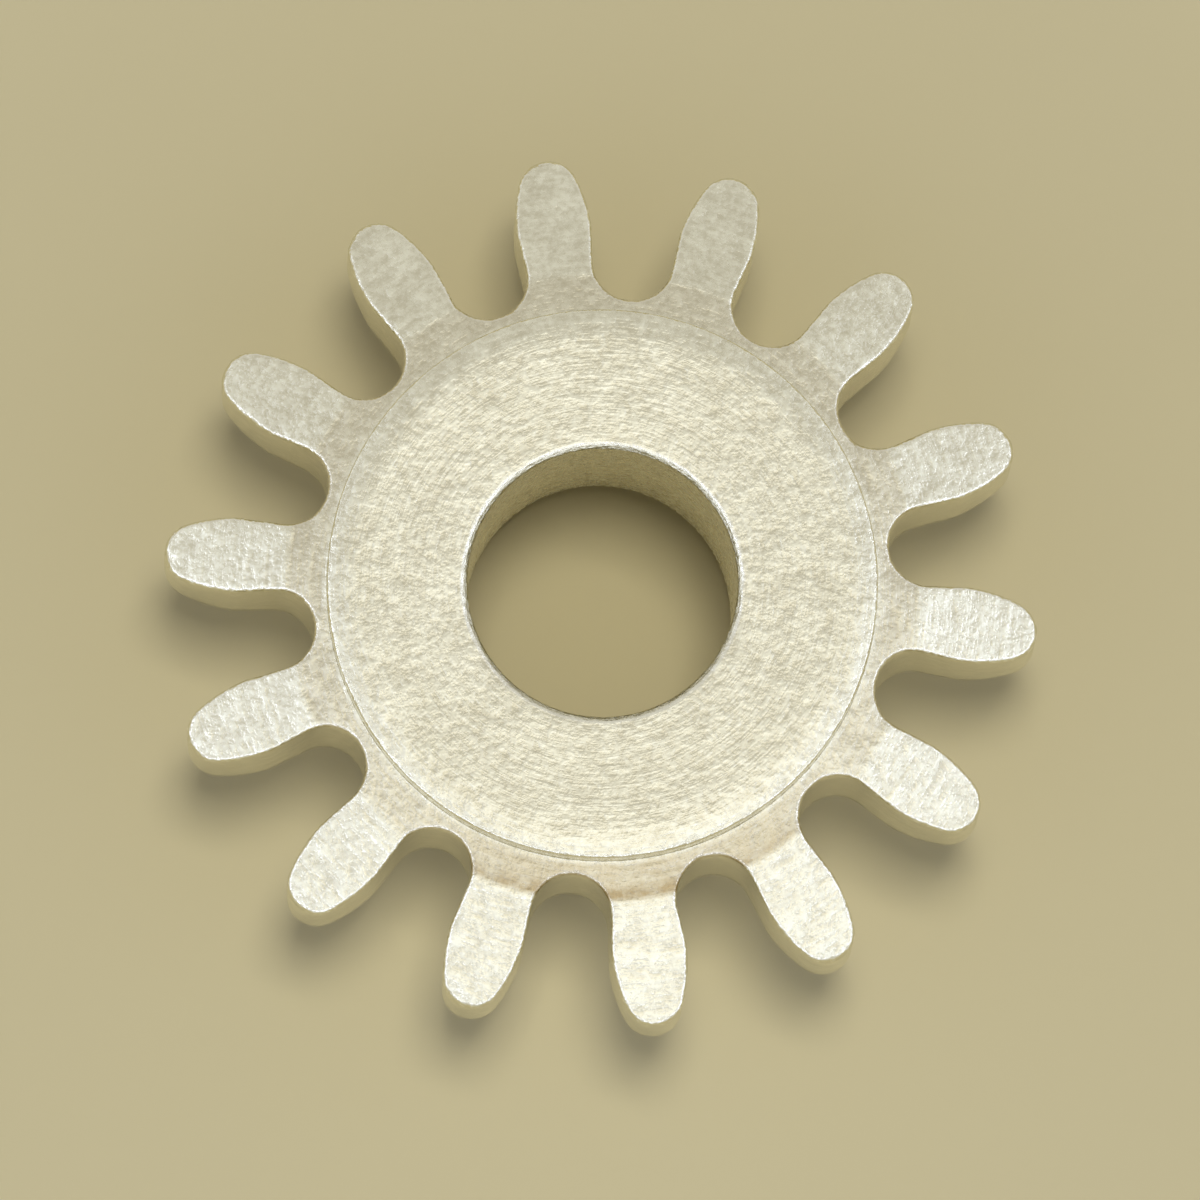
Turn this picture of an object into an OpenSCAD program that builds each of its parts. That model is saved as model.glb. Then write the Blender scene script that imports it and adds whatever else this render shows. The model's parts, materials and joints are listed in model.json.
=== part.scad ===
// A winding pinion: the toothed ring that turns loose on the winding stem of a watch.
// It is one piece of steel. The bore lies along Z, the plain front with its hub faces up,
// and the pinion stands on the tips of the ratchet teeth on its back. One tooth points along X.

/* [Teeth] */
// Number of teeth round the rim
teeth = 14; // [11:1:17]
// Diameter over the tips of the teeth
tip_d = 3.92; // [3.7:0.02:4]
// Diameter of the pitch circle, where the straight flanks end
pitch_d = 3.28; // [3.16:0.02:3.4]
// Diameter at the bottoms of the gaps between the teeth
root_d = 2.59; // [2.5:0.01:2.7]
// Thickness of a tooth at the pitch circle
tooth_w = 0.336; // [0.3:0.004:0.38]
// Radius of the two arcs that close a tooth in towards its tip
tip_arc_r = 0.7; // [0.42:0.01:0.9]
// How far the round bottoms of the gaps cut into the flanks
gap_relief = 0.002; // [0.001:0.001:0.004]
// Length of the teeth along the bore
tooth_l = 0.9; // [0.7:0.02:1.1]
// Diameter at which the bevel on the front ends of the teeth starts
front_bevel_d = 2.84; // [2.66:0.02:3.1]
// Diameter at which the bevel on the back ends of the teeth starts
back_bevel_d = 3.3; // [3:0.02:3.6]
// Slope of both bevels, in degrees from the flat face
bevel_angle = 20; // [10:1:30]

/* [Hub] */
// Diameter of the raised hub on the front
hub_d = 2.46; // [2.2:0.02:2.54]
// Height of the hub above the front ends of the teeth
hub_h = 0.16; // [0.1:0.01:0.3]
// Width of the crown, the border of the hub's face that curves down to its outer edge
crown_w = 0.17; // [0.08:0.01:0.22]
// Slope of the crown at the outer edge, in degrees from the flat face
crown_angle = 20; // [10:1:30]

/* [Bore] */
// Diameter of the bore for the winding stem
bore_d = 1.2; // [1:0.01:1.36]
// Width of the chamfers at the two ends of the bore
bore_chamfer = 0.025; // [0.02:0.005:0.06]
// Diameter of the recess inside the ring of ratchet teeth
recess_d = 1.6; // [1.5:0.02:1.8]
// Depth of that recess from the tips of the ratchet teeth
recess_l = 0.24; // [0.24:0.01:0.5]

/* [Ratchet] */
// Number of ratchet teeth
ratchet_teeth = 14; // [10:1:18]
// Diameter of the collar that carries the ratchet teeth
collar_d = 2.4; // [2.2:0.02:2.54]
// Length of the collar between the rim and the deepest ends of the ratchet gaps
collar_l = 0.36; // [0.2:0.02:0.6]
// Depth of the ratchet gaps at the outside of the collar
ratchet_depth = 0.28; // [0.2:0.01:0.32]
// Width of the flat on the tip of a ratchet tooth
ratchet_flat = 0.03; // [0.02:0.01:0.06]
// Width of the chamfer round the outside of the ratchet teeth
collar_chamfer = 0.04; // [0.02:0.01:0.08]

/* [Hidden] */
$fn = 96;

// Room that a cutting shape has beyond the steel it cuts
over = 0.2;

tip_r = tip_d / 2;
pitch_r = pitch_d / 2;
root_r = root_d / 2;
hub_r = hub_d / 2;
bore_r = bore_d / 2;
recess_r = recess_d / 2;
collar_r = collar_d / 2;

// The crown is an arc that leaves the flat face level and ends at the hub's edge with its slope
flat_r = hub_r - crown_w;
crown_r = crown_w / sin(crown_angle);
crown_h = crown_r * (1 - cos(crown_angle));

// Heights from the tips of the ratchet teeth, where Z is 0
rim_z = ratchet_depth + collar_l;
face_z = rim_z + tooth_l;
top_z = face_z + hub_h;

// Angles that one tooth and one gap take up on each side of their own middle line
tooth_step = 360 / teeth;
half_tooth = asin(tooth_w / pitch_d);
half_gap = tooth_step / 2 - half_tooth;

// The round bottom of a gap touches the root circle and both flanks
gap_c = (root_r + gap_relief) / (1 - sin(half_gap));
gap_r = gap_c - root_r;

// Distance from the axis at which the flanks end and the arcs of the tip start
shoulder_x = pitch_r * cos(half_tooth);

// The round end of a tooth touches the tip circle and both arcs. Slim teeth keep a least radius and
// end sooner, and on stubby teeth it is no wider than the tooth.
least_round_r = 0.01;
tip_l = tip_r - shoulder_x;
arc_y = tip_arc_r - tooth_w / 2;
touching_r = (pow(tip_arc_r, 2) - pow(tip_l, 2) - pow(arc_y, 2)) / (2 * (tip_arc_r - tip_l));
tip_round_r = min(tooth_w / 2, max(least_round_r, touching_r));
round_x = shoulder_x + sqrt(pow(tip_arc_r - tip_round_r, 2) - pow(arc_y, 2));
touch_x = shoulder_x + tip_arc_r * (round_x - shoulder_x) / (tip_arc_r - tip_round_r);

// The back of a ratchet tooth is a plane that leaves its flat at this angle
ratchet_step = 360 / ratchet_teeth;
ratchet_slope = atan(ratchet_depth / (collar_r * sin(ratchet_step) - ratchet_flat));

// One tooth, pointing along X: straight radial flanks, then two arcs, then a round end
module tooth_outline() {
    polygon([
        [root_r * cos(half_tooth), root_r * sin(half_tooth)],
        [root_r * cos(half_tooth), -root_r * sin(half_tooth)],
        [shoulder_x, -tooth_w / 2],
        [shoulder_x, tooth_w / 2]
    ]);
    intersection() {
        translate([shoulder_x, -tooth_w]) square([touch_x - shoulder_x, 2 * tooth_w]);
        translate([shoulder_x, -arc_y]) circle(tip_arc_r);
        translate([shoulder_x, arc_y]) circle(tip_arc_r);
    }
    translate([round_x, 0]) circle(tip_round_r);
}

// The whole toothing seen along the bore, with full round gap bottoms
module rim_outline() {
    difference() {
        union() {
            circle(gap_c * cos(half_gap));
            for (i = [0 : teeth - 1]) rotate(i * tooth_step) tooth_outline();
        }
        for (i = [0 : teeth - 1])
            rotate((i + 0.5) * tooth_step) translate([gap_c, 0]) circle(gap_r);
    }
}

// The toothed rim, with its teeth bevelled at the front and at the back
module rim() {
    reach = tip_r + over;
    intersection() {
        translate([0, 0, rim_z]) linear_extrude(tooth_l) rim_outline();
        rotate_extrude() polygon([
            [0, rim_z],
            [back_bevel_d / 2, rim_z],
            [reach, rim_z + (reach - back_bevel_d / 2) * tan(bevel_angle)],
            [reach, face_z - (reach - front_bevel_d / 2) * tan(bevel_angle)],
            [front_bevel_d / 2, face_z],
            [0, face_z]
        ]);
    }
}

// The hub, which runs down into the rim
module hub() {
    depth = hub_h + tooth_l / 2;
    translate([0, 0, top_z - depth]) rotate_extrude() {
        square([hub_r, depth - crown_h]);
        square([flat_r, depth]);
        intersection() {
            square([hub_r, depth]);
            translate([flat_r, depth - crown_r]) circle(crown_r);
        }
    }
}

// The collar, which runs up into the rim
module collar() {
    rotate_extrude() polygon([
        [0, 0],
        [collar_r - collar_chamfer, 0],
        [collar_r, collar_chamfer],
        [collar_r, rim_z + tooth_l / 2],
        [0, rim_z + tooth_l / 2]
    ]);
}

// What is bored out: the recess at the back, the bore and its two chamfers
module bore() {
    rotate_extrude() polygon([
        [0, -over],
        [recess_r, -over],
        [recess_r, recess_l],
        [bore_r + bore_chamfer, recess_l],
        [bore_r, recess_l + bore_chamfer],
        [bore_r, top_z - bore_chamfer],
        [bore_r + bore_chamfer + over, top_z + over],
        [0, top_z + over]
    ]);
}

// What is cut away before one ratchet tooth, whose tip lies along X: a plane leaves the flat on the
// tip and falls to the radial wall of the tooth before it, so the gap deepens away from the axis
module ratchet_gap() {
    reach = collar_r + over;
    intersection() {
        rotate([90, 0, 90]) linear_extrude(reach) polygon([
            [-ratchet_flat + over / tan(ratchet_slope), -over],
            [-reach, -over],
            [-reach, (reach - ratchet_flat) * tan(ratchet_slope)]
        ]);
        rotate(-ratchet_step) translate([0, 0, -over]) cube([2 * reach, 2 * reach, rim_z + over]);
    }
}

module winding_pinion() {
    color([0.8, 0.79, 0.75]) difference() {
        union() {
            rim();
            hub();
            collar();
        }
        bore();
        for (i = [0 : ratchet_teeth - 1]) rotate(i * ratchet_step) ratchet_gap();
    }
}

winding_pinion();
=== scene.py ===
# %% [markdown]
# # A winding pinion
#
# A winding pinion is a small toothed ring of hardened steel from the winding works of a watch. It
# turns loose on the winding stem. The sliding pinion behind it takes hold of the saw-shaped ratchet
# teeth on its back, and its fourteen rim teeth then turn the crown wheel. The whole thing is turned
# and cut from one bar, so this scene holds one piece as well.
#
# The frame brings its exact solid. Such a solid has perfectly sharp edges, and light never catches
# a perfectly sharp edge, so it looks drawn and not made. One way out is a Bevel modifier on the
# solid, but its long thin triangles bevel badly. This script builds the same pinion again as one
# fine closed surface, with broken edges, rounded corners and the small turned details, at the same
# size and in the same place, and lets it stand for the solid.

# %% Load the frame
import json

import bmesh
import bpy
import numpy as np
from mathutils import Matrix, Vector


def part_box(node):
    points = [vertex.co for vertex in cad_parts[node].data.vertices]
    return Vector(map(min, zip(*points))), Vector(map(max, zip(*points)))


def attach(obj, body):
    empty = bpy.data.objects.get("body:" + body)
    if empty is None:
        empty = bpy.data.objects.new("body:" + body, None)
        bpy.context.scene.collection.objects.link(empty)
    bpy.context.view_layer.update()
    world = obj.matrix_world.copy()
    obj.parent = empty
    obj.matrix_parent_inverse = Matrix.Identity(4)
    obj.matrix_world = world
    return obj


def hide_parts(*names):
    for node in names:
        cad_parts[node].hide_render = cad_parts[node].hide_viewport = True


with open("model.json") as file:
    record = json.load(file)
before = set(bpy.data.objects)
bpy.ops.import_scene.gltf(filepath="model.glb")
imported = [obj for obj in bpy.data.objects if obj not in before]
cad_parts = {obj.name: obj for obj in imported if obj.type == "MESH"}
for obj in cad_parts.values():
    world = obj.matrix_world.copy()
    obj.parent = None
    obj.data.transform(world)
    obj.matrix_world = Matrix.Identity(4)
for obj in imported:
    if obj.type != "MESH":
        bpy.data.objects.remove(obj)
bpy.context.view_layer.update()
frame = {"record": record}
node = "winding_pinion"
mm = 0.001

# %% [markdown]
# ## Sizes
#
# A watch part is thought of in millimetres, and Blender works in metres, so every size below is in
# millimetres and is multiplied by `mm` once, at the end. What the frame knows is read from it: the
# height comes from the node's box, and the bore comes from its mount. The rest are the driving sizes
# of the pinion, each written once.

# %% Driving sizes
mounts = {m["name"]: m for m in frame["record"]["mounts"]}
top_z = round(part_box(node)[1].z / mm, 4)
bore_r = mounts["bore"]["dims"]["r_mm"]

teeth = 14
tooth_step = 2 * np.pi / teeth
root_r, pitch_r, tip_r = 1.295, 1.64, 1.96
tooth_w, tooth_l = 0.336, 0.9
tip_arc_r = 0.7
front_bevel_r, back_bevel_r = 1.42, 1.65
bevel_slope = np.tan(np.radians(20))

hub_r, hub_h = 1.23, 0.16
crown_w, crown_angle = 0.17, np.radians(20)
collar_r, collar_chamfer = 1.2, 0.04
recess_r, recess_l = 0.8, 0.24
bore_chamfer = 0.025
ratchet_depth, ratchet_flat = 0.28, 0.03

face_z = top_z - hub_h
rim_z = face_z - tooth_l
print(f"bore {2 * bore_r:.2f}, tips {2 * tip_r:.2f}, height {top_z:.2f} mm")

# %% [markdown]
# The next sizes are too small for a drawing of the part but not for the eye: the radius to which a
# tumbled edge is broken, the fillet that a turning tool leaves in a corner and the room that a wall
# keeps for it, the slight fall of the ring between the hub and the bevel, and the fine line that the
# tool leaves where that ring ends.

# %% Sizes of the fine details
edge_r = 0.018
small_edge_r = 0.008
hub_edge_r = 0.016
fillet_r, hub_foot_r = 0.02, 0.008
fillet_room = 1.5 * fillet_r
chamfer_edge_r = 0.03
ring_slope = np.tan(np.radians(12))
groove_r, groove_half_w, groove_depth = 1.395, 0.025, 0.0015

# %% [markdown]
# ## One sector, fourteen times
#
# The pinion repeats every 1/14 turn, ratchet included. So each surface is worked out once, over the
# sector of one tooth, as a grid of radius, angle and height. Rows run one way over the surface and
# columns the other. The grids are turned into all fourteen places at the end in one array step,
# which is what an Array modifier would do, but with every value still at hand.
#
# Two helpers serve all grids. `fill` chooses the rows: it passes through every mark that matters,
# such as the start of a bevel, and steps evenly in between. `add_patch` keeps a finished grid, with
# two numbers for the finish: `cut` is 1 where a tooth cutter made the surface and 0 where a lathe
# did, and `bend` is above 0 on a worn outer edge and below 0 in an inner corner.

# %% Helpers for grids
columns = 24
side = np.linspace(-1, 1, columns + 1)
even_angle = side * tooth_step / 2
patches = []


def fill(marks, step):
    """Values through every mark, in equal steps between two marks that are no longer than step. Marks
    that coincide count as one."""
    spans = [
        np.linspace(a, b, int(np.ceil(abs(b - a) / step)), endpoint=False)
        for a, b in zip(marks[:-1], marks[1:])
        if abs(b - a) > 1e-5
    ]
    return np.concatenate([*spans, marks[-1:]])


def add_patch(r, angle, z, cut=0.0, bend=0.0):
    """Keeps one grid of a sector. Each value is spread over the grid's rows and columns."""
    r, angle, z, bend = np.broadcast_arrays(r, angle, z, bend)
    patches.append({"r": r, "angle": angle, "z": z, "cut": cut, "bend": bend})
    return r.shape


# %% [markdown]
# ## The outline of a tooth
#
# Seen along the bore, half a tooth is four pieces in a row: the round bottom of the gap, a straight
# flank that points at the axis, a wide arc that closes the tooth in, and half of its round end.
# Circles that touch are found from triangles, with no trial and error. The gap's circle touches the
# root circle and both flanks, so its centre lies where `root_r = centre * (1 - sin)`. The round end
# touches the tip circle and both wide arcs, so its centre is `tip_arc_r - round_r` away from theirs.
#
# Each point also gets its outward direction. Moving the outline inwards along these directions gives
# the line where the broken edge begins.

# %% Tooth outline
def unit(angle):
    """Directions at these angles: (cosine, sine)."""
    return np.stack([np.cos(angle), np.sin(angle)], -1)


def bearing(point):
    """Angle at which a point lies, seen from the axis."""
    return np.arctan2(point[..., 1], point[..., 0])


def angle_at_distance(centre, radius, distance, turn):
    """Angle on a circle whose point lies at a distance from the axis, by the cosine rule in the
    triangle of axis, centre and point. turn is 1 or -1 and picks one of its two answers."""
    reach = np.hypot(*centre)
    cosine = (np.square(distance) - reach**2 - radius**2) / (2 * reach * radius)
    return bearing(centre) + turn * np.arccos(cosine)


half_tooth = np.arcsin(tooth_w / 2 / pitch_r)
half_gap = tooth_step / 2 - half_tooth
gap_c = root_r / (1 - np.sin(half_gap))
gap_r = gap_c - root_r
gap_centre = gap_c * unit(tooth_step / 2)

shoulder_x, arc_y = pitch_r * np.cos(half_tooth), tip_arc_r - tooth_w / 2
arc_centre = np.array([shoulder_x, -arc_y])
tip_l = tip_r - shoulder_x
round_r = (tip_arc_r**2 - tip_l**2 - arc_y**2) / (2 * (tip_arc_r - tip_l))
round_centre = np.array([tip_r - round_r, 0])
touch = bearing(round_centre - arc_centre)
cap = touch / 2
print(f"round end {round_r:.3f} mm, gap radius {gap_r:.3f} mm")

# %% [markdown]
# The rows across the tooth's end faces lie at the distances of these outline points, so the points
# have to include the distances where an end face bends: the groove and the bevel's start in front,
# and the bevel's start at the back. The outline stops halfway round the tooth's end, at the angle
# `cap`, and the rest of the end becomes the last row.

# %% Points along half a tooth
groove_marks = groove_r + groove_half_w * np.array([-1, -0.5, 0, 0.5, 1])
gap_marks = angle_at_distance(
    gap_centre, gap_r + edge_r, np.append(groove_marks, front_bevel_r), -1
)
gap_angle = fill(
    np.array([tooth_step / 2 - np.pi, *gap_marks, half_tooth - np.pi / 2]), np.radians(8)
)
gap_points = gap_centre + gap_r * unit(gap_angle)

flank_r = fill(np.array([gap_c * np.cos(half_gap), pitch_r]), 0.04)[1:-1]
flank_points = flank_r[:, None] * unit(half_tooth)
flank_out = np.broadcast_to(unit(half_tooth + np.pi / 2), flank_points.shape)

bevel_mark = angle_at_distance(arc_centre, tip_arc_r - edge_r, back_bevel_r, 1)
arc_angle = fill(np.array([np.pi / 2, bevel_mark, touch]), np.radians(3))
arc_points = arc_centre + tip_arc_r * unit(arc_angle)
round_angle = fill(np.array([touch, cap]), np.radians(6))[1:]
round_points = round_centre + round_r * unit(round_angle)

half_points = np.concatenate([gap_points, flank_points, arc_points, round_points])
half_out = np.concatenate([-unit(gap_angle), flank_out, unit(arc_angle), unit(round_angle)])
half_bend = np.concatenate(
    [np.full(len(gap_points), -0.5), np.zeros(len(half_points) - len(gap_points))]
)
print(len(half_points), "points on half a tooth")

# %% [markdown]
# ## The rim's end faces
#
# An end face is a stack of arcs: at each distance from the axis an arc runs across the tooth, from
# flank to flank, and inside the gaps it runs across the whole sector. So the grid's two parameters
# are the distance, one row for each outline point, and the share of the half width, from -1 to 1.
# Near the tip the rows swell outwards, until the last one is the round end's own curve. The height
# depends on the distance alone, as on anything turned. The front has a fine groove and then falls
# along its bevel. The back stays flat for longer and then rises.

# %% End faces
inset_points = half_points - edge_r * half_out
inset_r = np.hypot(inset_points[:, 0], inset_points[:, 1])
inset_half = bearing(inset_points)


def front_z(r):
    """Height of the rim's front: face_z at the hub's foot, less the ring's slight slope, less half a
    cosine wave at the groove, less the bevel."""
    across = np.clip((r - groove_r) / groove_half_w, -1, 1)
    groove = groove_depth * (1 + np.cos(np.pi * across)) / 2
    ring = ring_slope * (np.minimum(r, front_bevel_r) - hub_r)
    return face_z - ring - groove - bevel_slope * np.maximum(r - front_bevel_r, 0)


def back_z(r):
    """Height of the rim's back: the flat, plus the bevel."""
    return rim_z + bevel_slope * np.maximum(r - back_bevel_r, 0)


def end_face(height):
    """Rows at the outline's distances r, columns at angle = share * half width, z = height(r). From
    the back bevel's start outwards each row takes on more of the cap's curve."""
    cap_line = round_centre + (round_r - edge_r) * unit(cap * side)
    cap_r, cap_angle = np.hypot(cap_line[:, 0], cap_line[:, 1]), bearing(cap_line)
    swell = np.clip((inset_r - back_bevel_r) / (inset_r[-1] - back_bevel_r), 0, 1)[:, None]
    r = inset_r[:, None] + swell * (cap_r - cap_r[-1])
    share = side + swell * (cap_angle / cap_angle[-1] - side)
    return add_patch(r, inset_half[:, None] * share, height(r))


print("front face", end_face(front_z), "back face", end_face(back_z))

# %% [markdown]
# ## Broken edges and flanks
#
# From here on the outline is followed as one line round the tooth: up one side, over the tip and
# down the other side. The broken edge is a quarter of a round bar carried along that line, which
# starts level with the end face and ends level with the flank. The flanks join the two edges.

# %% The line round the tooth
mirror = np.array([1, -1])
cap_out = unit(cap * side[1:-1])
cap_points = round_centre + round_r * cap_out
line_points = np.concatenate([half_points * mirror, cap_points, half_points[::-1]])
line_out = np.concatenate([half_out * mirror, cap_out, half_out[::-1]])
line_bend = np.concatenate([half_bend, np.zeros(columns - 1), half_bend[::-1]])
line_r = np.hypot(line_points[:, 0], line_points[:, 1])
line_angle = bearing(line_points)


def broken_edge(height, down):
    """A quarter round along the line, by its angle a from 0 to 90 degrees: it goes outwards with
    sin(a) and away from the end face with 1 - cos(a). down is 1 in front and -1 at the back."""
    a = np.linspace(0, np.pi / 2, 5)[:, None]
    inset = line_points - edge_r * line_out
    points = inset + edge_r * np.sin(a)[..., None] * line_out
    r = np.hypot(points[..., 0], points[..., 1])
    z = height(r) - down * edge_r * (1 - np.cos(a))
    return add_patch(r, bearing(points), z, bend=np.sin(2 * a))


def flanks():
    """Rows go down from the front edge to the back edge in equal shares of the tooth's length."""
    share = np.linspace(0, 1, 11)[:, None]
    front = front_z(line_r) - edge_r
    back = back_z(line_r) + edge_r
    return add_patch(line_r, line_angle, front + share * (back - front), cut=1.0, bend=line_bend)


print("edges", broken_edge(front_z, 1), broken_edge(back_z, -1), "flanks", flanks())

# %% [markdown]
# ## What the lathe leaves
#
# The bore, its chamfers, the hub and the foot of the hub are one profile turned about the axis. It
# is drawn by its corners, and `rounded_path` replaces each corner by the arc that touches both of
# its sides. An arc that starts at a point, heads along `d` and curves to the side `m` is at
# `start + radius * (sin(a) * d + (1 - cos(a)) * m)`. With the steel always on the right hand, a turn
# to the right is an outer edge and a turn to the left is an inner corner.
#
# The hub's face isn't flat to its edge. Its border is crowned, a wide arc that leaves the face level
# and falls ever faster, and it gives the hub its soft bright rim on the side that faces the light.

# %% Rounded profiles
def rounded_path(corners, radii, arc_step=np.radians(14), arc_length=0.02, longest=0.07):
    """A path through the corners with its inner corners rounded to these radii. Gives its points
    and their bend: 1 on a sharp outer edge, -1 in an inner corner, 0 on a straight, and less the
    wider the arc is."""
    corners = np.asarray(corners, float)
    heading = np.diff(corners, axis=0)
    heading /= np.linalg.norm(heading, axis=1)[:, None]
    points, bends = [corners[:1]], [np.zeros(1)]
    for corner, d, after, radius in zip(corners[1:-1], heading[:-1], heading[1:], radii):
        left = np.array([-d[1], d[0]])
        turn = np.arctan2(left @ after, d @ after)
        m = left * np.sign(turn)
        steps = int(np.ceil(abs(turn) * max(1 / arc_step, radius / arc_length)))
        a = np.linspace(0, abs(turn), steps + 1)[:, None]
        start = corner - d * radius * np.tan(abs(turn) / 2)
        points.append(start + radius * (np.sin(a) * d + (1 - np.cos(a)) * m))
        sharpness = min(1, chamfer_edge_r / radius) ** 2
        bends.append(-np.sign(turn) * sharpness * np.sin(np.pi * a[:, 0] / abs(turn)))
    points = np.concatenate([*points, corners[-1:]])
    bends = np.concatenate([*bends, np.zeros(1)])
    along = np.append(0, np.cumsum(np.linalg.norm(np.diff(points, axis=0), axis=1)))
    marks = fill(along, longest)
    path = np.stack([np.interp(marks, along, points[:, i]) for i in (0, 1)], -1)
    return path, np.interp(marks, along, bends)


def turned(path, bends):
    """A profile turned about the axis: rows along the path, columns at even angles."""
    return add_patch(path[:, :1], even_angle, path[:, 1:], bend=bends[:, None])


crown_r = crown_w / np.sin(crown_angle)
crown_h = crown_r * (1 - np.cos(crown_angle))
crown_x = hub_r - crown_w + crown_r * np.tan(crown_angle / 2)
edge_turn = np.pi / 2 - crown_angle
crown_arc_r = crown_r - hub_edge_r * np.tan(edge_turn / 2) / np.tan(crown_angle / 2)

recess_edge_z = recess_l - fillet_room
bore_corners = [
    [recess_r, recess_edge_z],
    [recess_r, recess_l],
    [bore_r + bore_chamfer, recess_l],
    [bore_r, recess_l + bore_chamfer],
    [bore_r, top_z - bore_chamfer],
    [bore_r + bore_chamfer, top_z],
    [crown_x, top_z],
    [hub_r, top_z - crown_h],
    [hub_r, face_z],
    [root_r - edge_r, front_z(root_r - edge_r)],
]
bore_radii = [fillet_r, *[chamfer_edge_r] * 4, crown_arc_r, hub_edge_r, hub_foot_r]
print("bore and hub", turned(*rounded_path(bore_corners, bore_radii)))

collar_top_z = rim_z - fillet_room
foot_corners = [[collar_r, collar_top_z], [collar_r, rim_z], [root_r - edge_r, rim_z]]
print("foot of the collar", turned(*rounded_path(foot_corners[::-1], [fillet_r])))

# %% [markdown]
# ## The ratchet teeth
#
# The collar ends in fourteen saw-shaped teeth. Each has a narrow flat on its tip, a steep wall that
# takes the push and a long back that slopes down to the foot of the next wall. A grid over this end
# needs its columns where the shape turns, so they aren't evenly spaced: eight on the near slope, one
# on the flat, three round the tip's edge, three up the wall, three in the fillet at its foot and six
# on the far slope. The slope is a plane, so its height follows `y = r * sin(angle)`.

# %% Ratchet end
slope = ratchet_depth / (collar_r * np.sin(tooth_step) - ratchet_flat)
foot_r = 0.014


def ratchet_end(r):
    """Angle and height of the ratchet end over one sector. r holds a distance for each column. Both
    slopes are planes, height = (r * sin(angle) - flat) * slope, the tip's edge is a quarter round,
    and the fillet at the wall's foot is drawn between its two ends a and c by the corner b:
    (1 - up)^2 * a + 2 * up * (1 - up) * b + up^2 * c."""
    share = np.arange(1, 9) / 8
    edge = ratchet_flat / r
    near = -tooth_step / 2 + np.append(0, share) * (tooth_step / 2 - np.arcsin(edge[..., :9]))
    near_z = np.maximum(-(r[..., :9] * np.sin(near) + ratchet_flat) * slope, 0)

    a = np.radians([0, 30, 60, 90])
    round_y = small_edge_r * (np.sin(a) - 1)
    tip = round_y / r[..., 9:13]
    tip_z = np.broadcast_to(small_edge_r * (1 - np.cos(a)), tip.shape)

    top = (r * np.sin(tooth_step) - ratchet_flat) * slope
    up = np.arange(1, 4) / 3
    wall_z = small_edge_r + up * (top[..., 13:16] - foot_r - small_edge_r)

    foot = foot_r / r
    foot_z = (r * np.sin(tooth_step - foot) - ratchet_flat) * slope
    bend = up**2 * foot[..., 16:19]
    bend_z = (1 - up) ** 2 * (top - foot_r)[..., 16:19]
    bend_z = bend_z + 2 * up * (1 - up) * top[..., 16:19] + up**2 * foot_z[..., 16:19]

    out = np.arange(1, 7) / 6
    far = foot[..., 19:] + out * (tooth_step / 2 - foot[..., 19:])
    far_z = (r[..., 19:] * np.sin(tooth_step - far) - ratchet_flat) * slope
    angle = np.concatenate([near, tip, np.zeros_like(wall_z), bend, far], -1)
    return angle, np.concatenate([near_z, tip_z, wall_z, bend_z, far_z], -1)


def outward(r, angle, z):
    """Outward directions of the end's profile, unrolled flat: its tangent turned by 90 degrees. The
    tangent is the difference of the two neighbours, and the sector's ends borrow theirs from the
    next sectors."""
    y = r * np.concatenate([angle[-2:-1] - tooth_step, angle, angle[1:2] + tooth_step])
    h = np.concatenate([z[-2:-1], z, z[1:2]])
    tangent = np.stack([y[2:] - y[:-2], h[2:] - h[:-2]], -1)
    tangent /= np.linalg.norm(tangent, axis=1)[:, None]
    return tangent[:, 1], -tangent[:, 0]


# %% [markdown]
# The outer edge of the ratchet teeth is chamfered: a cone cuts every point that is nearer the tips
# than the chamfer is wide. So the grid ends where the slope meets the cone, and that distance is
# found by putting it back into itself a few times. Where the cone doesn't reach, the edge is only
# broken. The edge strips then carry the end's profile over to the outer wall and to the recess.

# %% Ratchet patches
end_r = np.full(columns + 1, collar_r)
for _ in range(5):
    end_z = ratchet_end(end_r)[1]
    end_r = collar_r - np.maximum(small_edge_r, collar_chamfer - end_z)

share = np.linspace(0, 1, 7)[:, None]
start_r = recess_r + small_edge_r
ratchet_r = start_r + share * (end_r - start_r)
ratchet_angle, ratchet_z = ratchet_end(ratchet_r)
bend_of_end = np.zeros(columns + 1)
bend_of_end[[8, 9, 10, 11, 12]] = [0.6, 0.6, 0.9, 0.9, 0.6]
bend_of_end[16:19] = -0.7
print("ratchet end", add_patch(ratchet_r, ratchet_angle, ratchet_z, 1.0, bend_of_end))


def ratchet_side(row, wall_r, lowest, end_z, rows):
    """The strip from one border of the ratchet end to a wall at wall_r, and that wall from there to
    the height end_z, where its columns have become even. Both go straight from a start to an end:
    start + share * (end - start)."""
    angle, z = ratchet_angle[row], ratchet_z[row]
    out_y, out_z = outward(wall_r, angle, z)
    wall_angle = angle - small_edge_r * out_y / wall_r
    wall_z = np.maximum(z - small_edge_r * out_z, lowest)
    strip = np.linspace(0, 1, 3)[:, None]
    add_patch(
        ratchet_r[row] + strip * (wall_r - ratchet_r[row]),
        angle + strip * (wall_angle - angle),
        z + strip * (wall_z - z),
        bend=np.sin(np.pi * strip) * 0.8,
    )
    up = np.linspace(0, 1, rows + 1)[:, None]
    return add_patch(
        wall_r,
        wall_angle + up * (even_angle - wall_angle),
        wall_z + up * (end_z - wall_z),
    )


print("collar", ratchet_side(-1, collar_r, collar_chamfer, collar_top_z, 8))
print("recess", ratchet_side(0, recess_r, 0, recess_edge_z, 3))

# %% [markdown]
# ## From grids to one closed skin
#
# All grids are turned into their fourteen places and joined. Neighbouring grids share the points
# along their borders, so points that agree to a hundred-thousandth of a millimetre become one. If
# every edge then has exactly two faces, the skin is closed. That is worth testing in the script,
# because a hole the width of a hair lets light through and spoils a printed part.

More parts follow.
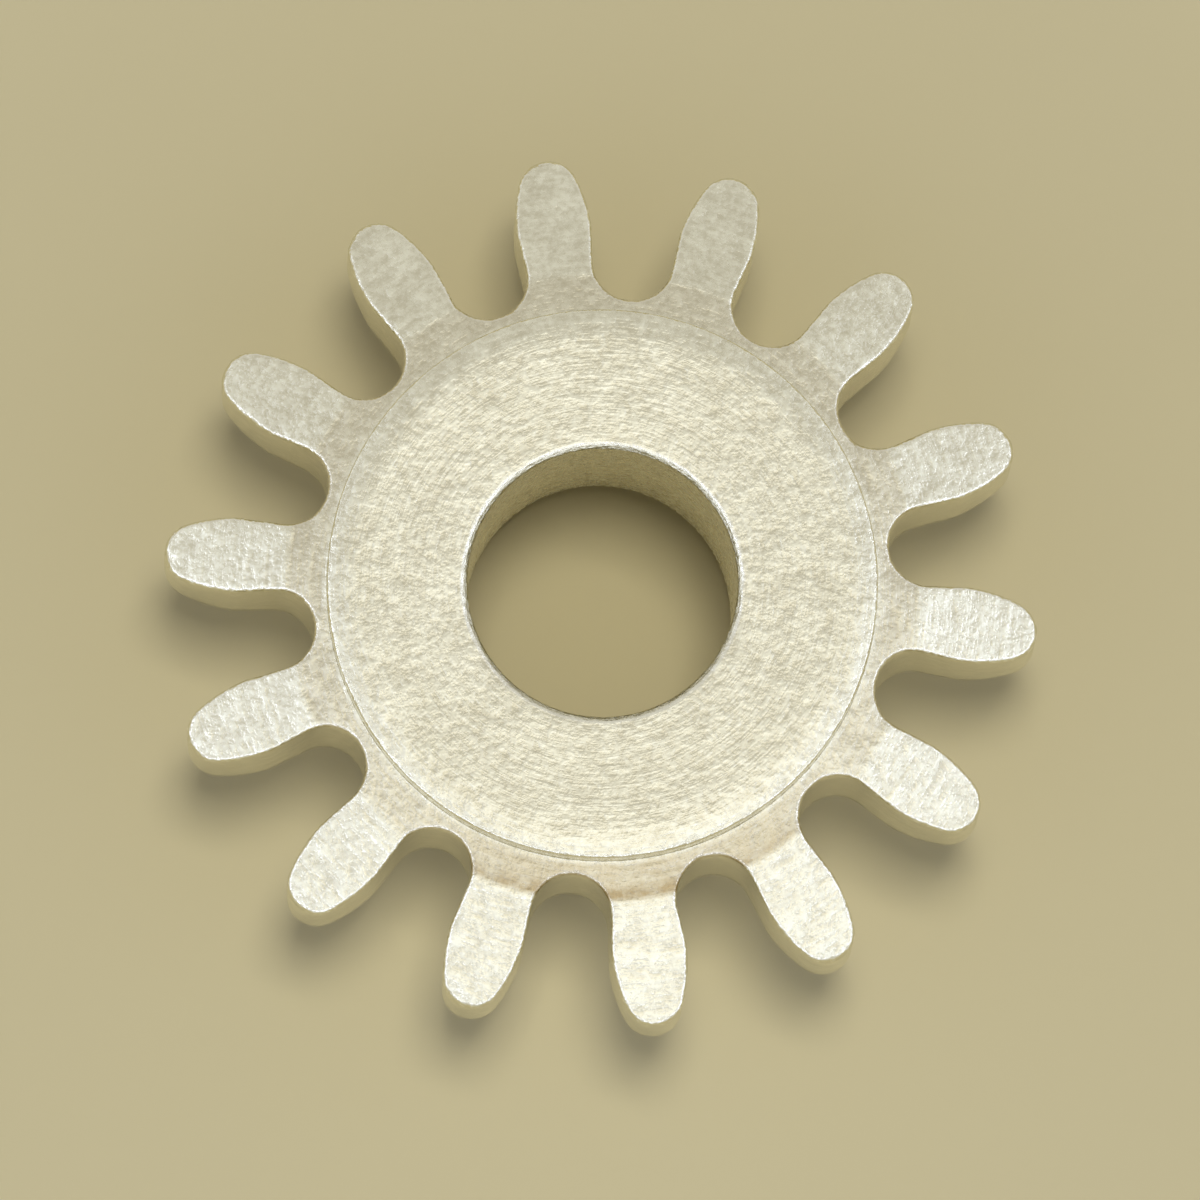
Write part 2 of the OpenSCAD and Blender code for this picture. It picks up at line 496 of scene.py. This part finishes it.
# %% Join the grids
def join_patches():
    """Points, four-cornered faces, and the two finish numbers, for the whole pinion. A point of a
    grid lies at (r * cos(angle), r * sin(angle), z)."""
    turns = np.arange(teeth)[:, None, None] * tooth_step
    points, faces, cuts, bends, count = [], [], [], [], 0
    for p in patches:
        angle = p["angle"] + turns
        r, z, bend = (np.broadcast_to(p[key], angle.shape) for key in ("r", "z", "bend"))
        points.append(np.stack([r * np.cos(angle), r * np.sin(angle), z], -1).reshape(-1, 3))
        index = np.arange(angle.size).reshape(angle.shape) + count
        corners = [index[:, :-1, :-1], index[:, :-1, 1:], index[:, 1:, 1:], index[:, 1:, :-1]]
        faces.append(np.stack(corners, -1).reshape(-1, 4))
        cuts.append(np.full(len(faces[-1]), p["cut"]))
        bends.append(bend.ravel())
        count += angle.size
    points, faces = np.concatenate(points), np.concatenate(faces)
    keys = np.round(points * 1e5).astype(np.int64)
    _, first, same = np.unique(keys, axis=0, return_index=True, return_inverse=True)
    same = same.ravel()
    bend = np.zeros(len(first))
    np.maximum.at(bend, same, np.concatenate(bends))
    inner = np.zeros(len(first))
    np.minimum.at(inner, same, np.concatenate(bends))
    return points[first], same[faces], np.concatenate(cuts), bend + inner


points, faces, cut, bend = join_patches()
edges = np.sort(np.concatenate([faces[:, [i, (i + 1) % 4]] for i in range(4)]), axis=1)
_, uses = np.unique(edges, axis=0, return_counts=True)
print(len(points), "points,", 2 * len(faces), "triangles, edges by faces:", np.bincount(uses))
assert (uses == 2).all(), "the skin has a hole or a double wall"

# %% [markdown]
# ## The hand of the maker
#
# A part of this size that has been through the tumbling barrel is never perfect. Its faces are a
# little uneven, by a few thousandths of a millimetre, and the edges of its teeth carry small dents.
# Both are real shape here, so they also show in the outline: the unevenness is a sum of long sine
# waves, and each dent pushes the surface towards the middle of the tooth with a bell curve.

# %% Unevenness and dents
rng = np.random.default_rng(7)


def unevenness(points, waves=9, shortest=0.5, longest=1.6, size=0.0022):
    """A sum of sine waves in random directions, moved along one random direction each."""
    total = np.zeros_like(points)
    for _ in range(waves):
        direction, push = rng.normal(size=(2, 3))
        direction /= np.linalg.norm(direction)
        length = rng.uniform(shortest, longest)
        phase = rng.uniform(0, 2 * np.pi)
        wave = np.sin(2 * np.pi * (points @ direction) / length + phase)
        total += wave[:, None] * push / np.linalg.norm(push) * size / np.sqrt(waves)
    return total


def dents(points, count=46, widths=(0.02, 0.05), depth_shares=(0.06, 0.15), inwards=0.8, down=0.6):
    """Bell-shaped dents on the front edges of the teeth: depth * exp(-distance^2 / width^2), pushed
    inwards and down. The depth is a share of the width."""
    total = np.zeros_like(points)
    spots = rng.integers(0, len(line_points), count)
    turns = rng.integers(0, teeth, count) * tooth_step
    for spot, turn in zip(spots, turns):
        angle = line_angle[spot] + turn
        place = np.array([*(line_r[spot] * unit(angle)), front_z(line_r[spot])])
        out = bearing(line_out[spot]) + turn
        push = np.array([*(-inwards * unit(out)), -down])
        width = rng.uniform(*widths)
        depth = width * rng.uniform(*depth_shares)
        near = np.exp(-np.sum((points - place) ** 2, axis=1) / width**2)
        total += depth * near[:, None] * push
    return total


shift = unevenness(points) + dents(points)
points = points + shift
print("largest shift", round(float(np.linalg.norm(shift, axis=1).max()), 4), "mm")

# %% [markdown]
# The finished arrays go into a mesh. Blender works out which way is out from the closed skin. Faces
# are shaded smooth, and edges that turn by more than a set angle are marked sharp, so that flats
# stay flat and the broken edges still roll the light.

# %% Make the piece
def make_piece(name):
    """A mesh object at the origin, in metres, with the finish numbers as attributes."""
    mesh = bpy.data.meshes.new(name)
    mesh.from_pydata(points * mm, [], faces.tolist())
    mesh.attributes.new("cut", "FLOAT", "FACE").data.foreach_set("value", cut.astype(np.float32))
    mesh.attributes.new("bend", "FLOAT", "POINT").data.foreach_set("value", bend.astype(np.float32))
    skin = bmesh.new()
    skin.from_mesh(mesh)
    bmesh.ops.recalc_face_normals(skin, faces=skin.faces)
    print("volume", round(skin.calc_volume(signed=True) / mm**3, 3), "mm3")
    skin.to_mesh(mesh)
    skin.free()
    mesh.polygons.foreach_set("use_smooth", np.ones(len(mesh.polygons), bool))
    mesh.set_sharp_from_angle(angle=np.radians(38))
    piece = bpy.data.objects.new(name, mesh)
    bpy.context.scene.collection.objects.link(piece)
    return piece


pinion = make_piece("steel_pinion")
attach(pinion, "root")
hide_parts(node)

# %% [markdown]
# ## The steel
#
# Bright steel is a metal with a light, slightly warm colour. What makes it steel and not plastic is
# how it breaks up light, and that comes in several sizes here. The lathe leaves fine rings, which
# depend only on the distance from the axis and the height. The tooth cutter leaves streaks along the
# teeth. The tumbling barrel leaves a fine grain on both, which sparkles, a coarser mottle and broad
# faint clouds. Edges are rubbed smooth and bright, and inner corners get painted shade, a darker
# tone.
#
# All patterns read Object coordinates, turned into millimetres, so they sit in the metal and need no
# unwrapping. Their heights are in millimetres too and are added up before they reach the Bump node,
# whose Distance of one millimetre turns them into relief: a ring is about a thousandth high.

# %% Node helpers
class Graph:
    """Makes nodes in one node tree. Where a value goes in, it may be a socket or a plain value."""

    def __init__(self, tree):
        tree.nodes.clear()
        self.nodes = tree.nodes
        self.link = tree.links.new

    def give(self, socket, value):
        """Links a value to a socket, or sets it there."""
        if isinstance(value, bpy.types.NodeSocket):
            self.link(value, socket)
        else:
            socket.default_value = value

    def math(self, operation, *values):
        """One Math node on up to three values."""
        made = self.nodes.new("ShaderNodeMath")
        made.operation = operation
        for socket, value in zip(made.inputs, values):
            self.give(socket, value)
        return made.outputs[0]

    def total(self, *pairs):
        """The sum of value * weight over the pairs."""
        result = 0.0
        for value, weight in pairs:
            result = self.math("MULTIPLY_ADD", value, weight, result)
        return result

    def vector(self, x, y, z):
        """Three values as one vector."""
        made = self.nodes.new("ShaderNodeCombineXYZ")
        for socket, value in zip(made.inputs, (x, y, z)):
            self.give(socket, value)
        return made.outputs[0]

    def noise(self, vector, scale, detail=2.0, roughness=0.5):
        """A Noise Texture, from 0 to 1 with its middle at 0.5. Its spots are 1 / scale wide."""
        made = self.nodes.new("ShaderNodeTexNoise")
        made.inputs["Scale"].default_value = scale
        made.inputs["Detail"].default_value = detail
        made.inputs["Roughness"].default_value = roughness
        self.link(vector, made.inputs["Vector"])
        return made.outputs["Fac"]

    def span(self, value, low, high, out_low=0.0, out_high=1.0, kind="LINEAR"):
        """A Map Range node: low to high becomes out_low to out_high, with the ends held."""
        made = self.nodes.new("ShaderNodeMapRange")
        made.interpolation_type = kind
        for name, number in zip(
            ("From Min", "From Max", "To Min", "To Max"), (low, high, out_low, out_high)
        ):
            made.inputs[name].default_value = number
        self.link(value, made.inputs["Value"])
        return made.outputs["Result"]

    def mix(self, amount, a, b):
        """a where amount is 0, b where it is 1."""
        made = self.nodes.new("ShaderNodeMix")
        for socket, value in zip(made.inputs, (amount, None, a, b)):
            if value is not None:
                self.give(socket, value)
        return made.outputs[0]

    def tint(self, base, colour, amount, blend="MIX"):
        """A colour laid over another by an amount from 0 to 1."""
        made = self.nodes.new("ShaderNodeMix")
        made.data_type = "RGBA"
        made.blend_type = blend
        self.give(made.inputs["Factor"], amount)
        self.give(made.inputs["A"], base)
        self.give(made.inputs["B"], colour)
        return made.outputs["Result"]

    def attribute(self, name):
        """A number that the mesh carries on its points or faces."""
        made = self.nodes.new("ShaderNodeAttribute")
        made.attribute_name = name
        return made.outputs["Fac"]

    def bump(self, height, distance, normal=None):
        """Relief: distance is how high, in metres, a height of 1 stands."""
        made = self.nodes.new("ShaderNodeBump")
        made.inputs["Distance"].default_value = distance
        self.link(height, made.inputs["Height"])
        if normal is not None:
            self.link(normal, made.inputs["Normal"])
        return made.outputs["Normal"]

    def surface(self, output_kind="ShaderNodeOutputMaterial", shader_kind="ShaderNodeBsdfPrincipled"):
        """A shader joined to the output. Gives the shader's inputs."""
        shader = self.nodes.new(shader_kind)
        output = self.nodes.new(output_kind)
        self.link(shader.outputs[0], output.inputs["Surface"])
        return shader.inputs


def new_material(name):
    """An empty node material and its graph."""
    material = bpy.data.materials.new(name)
    material.use_nodes = True
    return material, Graph(material.node_tree)


# %% [markdown]
# The patterns come first. A noise is even in all directions, so its coordinates are bent to draw it
# out: the lathe's coordinates are the distance from the axis plus the height, which change fast
# across a ring, and a shortened turn around the axis, which changes slowly along it. Distance plus
# height works on faces, walls and chamfers alike. The cutter's coordinates are shortened along the
# bore.

# %% Patterns of the steel
ring_length = 0.07
streak_length = 0.05
# The side of the ring that gets painted shade, as an angle round the axis.
painted_shade_bearing = np.radians(-80)


def steel_patterns(graph):
    """The noises of the steel, the distance from the axis and the height in millimetres, and the
    cosine of the angle round the axis to the side of the ring that gets painted shade."""
    in_mm = graph.nodes.new("ShaderNodeVectorMath")
    in_mm.operation = "SCALE"
    in_mm.inputs["Scale"].default_value = 1 / mm
    graph.link(graph.nodes.new("ShaderNodeTexCoord").outputs["Object"], in_mm.inputs[0])
    position = in_mm.outputs[0]
    parts = graph.nodes.new("ShaderNodeSeparateXYZ")
    graph.link(position, parts.inputs[0])
    x, y, z = parts.outputs
    distance = graph.math("SQRT", graph.total((x, x), (y, y)))
    turn = [graph.math("DIVIDE", part, distance) for part in (x, y)]
    around = [graph.math("MULTIPLY", part, ring_length) for part in turn]
    lathe = graph.vector(graph.math("ADD", distance, z), *around)
    cutter = graph.vector(x, y, graph.math("MULTIPLY", z, streak_length))
    return {
        "distance": distance,
        "height": z,
        "oil_side": graph.total((turn[0], np.cos(painted_shade_bearing)), (turn[1], np.sin(painted_shade_bearing))),
        "rings": graph.noise(lathe, 60, detail=3, roughness=0.65),
        "streaks": graph.noise(cutter, 42, detail=2, roughness=0.6),
        "grain": graph.noise(position, 34),
        "fine": graph.noise(position, 90, detail=1),
        "mottle": graph.noise(position, 12, detail=3, roughness=0.6),
        "clouds": graph.noise(position, 1.9),
    }


# %% [markdown]
# The colour is a light warm grey that wavers a little with the same patterns. Worn outer edges are
# lighter, and inner corners get painted shade, a darker tone. The ring round the hub is made a
# little darker than the hub and the bevels, all round. On one side the ring also gets painted
# shade, a brown tone, most of it in the groove at its outer end.

# %% Colour of the steel
dull_steel = (0.68, 0.64, 0.485, 1)
clean_steel = (0.90, 0.875, 0.705, 1)
rubbed_steel = (0.90, 0.88, 0.76, 1)
# Painted shade for inner corners: a darker tone.
corner_shade_steel = (0.50, 0.45, 0.33, 1)
ring_shade = (0.90, 0.88, 0.85, 1)
# Painted shade on one side of the ring: a brown tone.
painted_side_shade = (0.58, 0.49, 0.36, 1)


def steel_colour(graph, patterns, rubbed, corner, on_front):
    """Tones that follow the patterns, the wear and the distance from the axis, with painted shade in
    inner corners and on one side of the ring. The painted shade on the ring is a product of shares:
    full in the groove and half beside it, full on its own side and hardly there elsewhere, and broken
    up by the mottle."""
    distance = patterns["distance"]
    shares = {"rings": 0.24, "grain": 0.32, "fine": 0.10, "mottle": 0.28, "clouds": 0.06}
    waver = graph.total(*((patterns[name], share) for name, share in shares.items()))
    colour = graph.tint(dull_steel, clean_steel, graph.span(waver, 0.41, 0.59))
    colour = graph.tint(colour, rubbed_steel, graph.math("MULTIPLY", rubbed, 0.6))
    # Painted shade: inner corners, where bend is below 0, are tinted darker.
    colour = graph.tint(colour, corner_shade_steel, graph.math("MULTIPLY", corner, 0.15))
    in_ring = graph.math("MULTIPLY", graph.span(distance, hub_r, hub_r + 0.03), on_front)
    in_ring = graph.math("MULTIPLY", in_ring, graph.span(distance, groove_r, front_bevel_r, 1, 0))
    colour = graph.tint(colour, ring_shade, in_ring, "MULTIPLY")
    # Painted shade: a brown tone on one side of the ring, strongest in the groove.
    off_groove = graph.math("ABSOLUTE", graph.math("SUBTRACT", distance, groove_r))
    shade_share = graph.math("MULTIPLY", in_ring, graph.span(off_groove, 0.02, 0.07, 1, 0.5))
    shade_share = graph.math("MULTIPLY", shade_share, graph.span(patterns["oil_side"], 0.72, 0.97, 0.04, 1))
    shade_share = graph.math("MULTIPLY", shade_share, graph.span(patterns["mottle"], 0.32, 0.56, 0.35, 1))
    return graph.tint(colour, painted_side_shade, shade_share, "MULTIPLY")


# %% [markdown]
# Relief and gloss finish it. The turned faces have rings, two sizes of grain and the coarser mottle,
# and the cut flanks have streaks and hardly any grain, so they are glossier. The broad clouds lie
# under both as a hardly visible swell. Worn edges are glossy too.

# %% Relief, gloss and the whole material
def steel():
    """Bright tumbled steel: metallic all over, with its colour, roughness and relief from patterns."""
    material, graph = new_material("bright_steel")
    patterns = steel_patterns(graph)
    cut_share = graph.attribute("cut")
    bend_value = graph.attribute("bend")
    rubbed = graph.span(bend_value, 0.05, 0.8)
    # The share of painted shade in inner corners.
    corner = graph.span(bend_value, -0.1, -0.9)
    on_front = graph.span(patterns["height"], face_z - 0.08, face_z - 0.05)

    turned_heights = {"rings": 0.0040, "fine": 0.0014, "grain": 0.0034, "mottle": 0.0105}
    turned_relief = graph.total(*((patterns[name], high) for name, high in turned_heights.items()))
    cut_relief = graph.total((patterns["streaks"], 0.0024), (patterns["fine"], 0.0006))
    normal = graph.bump(patterns["clouds"], 0.0015 * mm)
    normal = graph.bump(graph.mix(cut_share, turned_relief, cut_relief), mm, normal)

    rough = graph.span(patterns["grain"], 0.3, 0.7, 0.22, 0.32)
    rough = graph.total((rough, 1), (cut_share, -0.07), (rubbed, -0.06))

    surface = graph.surface()
    surface["Metallic"].default_value = 1.0
    graph.link(steel_colour(graph, patterns, rubbed, corner, on_front), surface["Base Color"])
    graph.link(rough, surface["Roughness"])
    graph.link(normal, surface["Normal"])
    return material


pinion.data.materials.append(steel())
print("steel material on", pinion.name)

# %% [markdown]
# ## Directions in the picture
#
# The picture is taken almost straight from above. Its upper edge lies a little round from the
# part's Y axis, so that the tooth on the X axis points slightly down to the right. Lamps and camera
# are placed by the picture's own directions, which `toward` turns into the part's frame: a lean away
# from straight up, towards the upper edge when positive, and a turn to the right.

# %% Picture directions
picture_turn = np.radians(5.5)
picture_right = Vector((np.cos(picture_turn), np.sin(picture_turn), 0))
picture_up = Vector((-np.sin(picture_turn), np.cos(picture_turn), 0))
middle = Vector((0, 0, 1.0 * mm))


def toward(lean, turn=0.0):
    """A direction that leans from straight up by lean degrees, to the picture's upper edge turned by
    turn degrees to the right."""
    lean, turn = np.radians(lean), np.radians(turn)
    level = picture_up * np.cos(turn) + picture_right * np.sin(turn)
    return (level * np.sin(lean) + Vector((0, 0, np.cos(lean)))).normalized()


# %% [markdown]
# ## The table it stands on
#
# The floor is a plain pale sheet, big enough that no view sees its edge. It is matt and has no
# pattern, because it only has to take the shadow. Polished metal has hardly a look of its own and
# shows the room that it mirrors. So the world is a pale room, brighter above the picture's lower
# edge than behind the upper one, and the slopes of the pinion pick out its parts. What falls from
# that room on the matt floor is a separate, weaker fill, because an even room would wash away the
# shadow.

# %% Floor and world
pale = (0.565, 0.489, 0.278)
room = (1.0, 0.985, 0.945)
room_low, room_high, room_fill = 0.71, 1.31, 0.22
room_side, room_edge = toward(-16, -14), 0.84
floor_half = 400 * mm


def make_floor():
    """A flat square at the height of the ratchet tips, with its own matt material."""
    mesh = bpy.data.meshes.new("floor")
    corners = [(-1, -1), (1, -1), (1, 1), (-1, 1)]
    mesh.from_pydata([(x * floor_half, y * floor_half, 0) for x, y in corners], [], [(0, 1, 2, 3)])
    floor = bpy.data.objects.new("floor", mesh)
    bpy.context.scene.collection.objects.link(floor)
    material, graph = new_material("pale_floor")
    surface = graph.surface()
    surface["Base Color"].default_value = (*pale, 1)
    surface["Roughness"].default_value = 0.9
    surface["Specular IOR Level"].default_value = 0.2
    mesh.materials.append(material)


def make_world():
    """A pale room that the camera and the steel see. It is brightest in one direction, above the
    picture's lower edge, and falls off smoothly around it, by the cosine of the angle to that
    direction, until the cosine is room_edge. Matt surfaces see an even, weaker fill instead."""
    world = bpy.data.worlds.new("pale_room")
    world.use_nodes = True
    graph = Graph(world.node_tree)
    cosine = graph.nodes.new("ShaderNodeVectorMath")
    cosine.operation = "DOT_PRODUCT"
    cosine.inputs[1].default_value = room_side
    graph.link(graph.nodes.new("ShaderNodeTexCoord").outputs["Generated"], cosine.inputs[0])
    graded = graph.span(
        cosine.outputs["Value"], room_edge, 1.0, room_low, room_high, "SMOOTHSTEP"
    )
    ray = graph.nodes.new("ShaderNodeLightPath").outputs
    mirrored = graph.math("MAXIMUM", ray["Is Camera Ray"], ray["Is Glossy Ray"])
    background = graph.surface("ShaderNodeOutputWorld", "ShaderNodeBackground")
    background["Color"].default_value = (*room, 1)
    graph.link(graph.mix(mirrored, room_fill, graded), background["Strength"])
    bpy.context.scene.world = world


make_floor()
make_world()
print("floor", 2 * floor_half / mm, "mm wide")

# %% [markdown]
# ## Lamps
#
# The key hangs overhead and leans to the picture's upper right, so the shadows fall to the lower
# left. It lights the floor and isn't mirrored, because its small bright face would burn out the flat
# steel. What the steel mirrors instead are two rows of lamps that bend round the lower edge, a broad
# dim one and a thin bright one below it: bevels and round edges that face them shine, while those of
# the upper teeth stay greyer. Their light is a little cool, as daylight is beside a warm room, so the
# highlights are whiter than the steel.

# %% Lamps
def lamp(name, direction, distance, width, height, radiance, colour=(1, 1, 1)):
    """A flat area lamp at that distance, facing the pinion, its width level with the floor. Sizes in
    metres. A lamp whose face shines evenly in all directions gives pi * area * radiance in watts."""
    data = bpy.data.lights.new(name, "AREA")
    data.shape = "RECTANGLE"
    data.size = width
    data.size_y = height
    data.energy = np.pi * width * height * radiance
    data.color = colour
    made = bpy.data.objects.new(name, data)
    made.location = middle + direction * distance
    across = Vector((-direction.y, direction.x, 0)).normalized()
    axes = Matrix((across, direction.cross(across), direction)).transposed()
    made.rotation_mode = "QUATERNION"
    made.rotation_quaternion = axes.to_quaternion()
    bpy.context.scene.collection.objects.link(made)
    return made


key = lamp("key", toward(6, 20), 0.45, 0.10, 0.10, 33)
key.visible_glossy = False

row_middle, row_rise, row_fade = -4, 80, 94
cool = (0.86, 0.98, 1.36)


def row(name, lean, height, radiance, distance=0.42, step=30, reach=120):
    """A row of lamps that leans to the lower edge and bends round to both sides. It grows a little
    towards the sides and fades at its ends: radiance * (1 + (turn / rise)^2) / (1 + (turn / fade)^8)."""
    width = 2 * distance * np.sin(np.radians(lean)) * np.tan(np.radians(step / 2))
    for turn in range(-reach, reach + 1, step):
        direction = toward(-lean, row_middle + turn)
        share = (1 + (turn / row_rise) ** 2) / (1 + (turn / row_fade) ** 8)
        lamp(f"{name}_{turn}", direction, distance, width, height, radiance * share, cool)


row("panel", 36, 0.16, 0.24)
row("strip", 60, 0.05, 2.0)

# %% [markdown]
# ## Camera
#
# A part of four millimetres is photographed with a long lens from some way off, which keeps its
# front and its back nearly the same size. The camera leans a few degrees to the picture's lower
# edge, so the far wall of the bore shows at the top. Its own axes are set from the picture's
# directions, so nothing has to be tracked.

# %% Camera
camera_direction = toward(-6.5, 8)
frame_width = 5.38 * mm
lens = 800
sensor = 36


def make_camera():
    """The lens and the width of the view give the distance: distance = width * lens / sensor. The
    picture's right is made square to the line of sight first, and its up follows from both."""
    data = bpy.data.cameras.new("camera")
    data.lens = lens
    data.sensor_width = sensor
    distance = frame_width * lens / sensor
    data.clip_start = distance / 50
    data.clip_end = distance * 20
    back = camera_direction
    right = (picture_right - back * picture_right.dot(back)).normalized()
    axes = Matrix((right, back.cross(right), back)).transposed()
    camera = bpy.data.objects.new("camera", data)
    camera.matrix_world = Matrix.Translation(middle + back * distance) @ axes.to_4x4()
    bpy.context.scene.collection.objects.link(camera)
    bpy.context.scene.camera = camera
    return distance


print("camera at", round(make_camera() / mm, 1), "mm")

# %% [markdown]
# ## Finish
#
# Colours are shown as they are, with the Standard view transform.

# %% Finish
bpy.context.scene.view_settings.view_transform = "Standard"
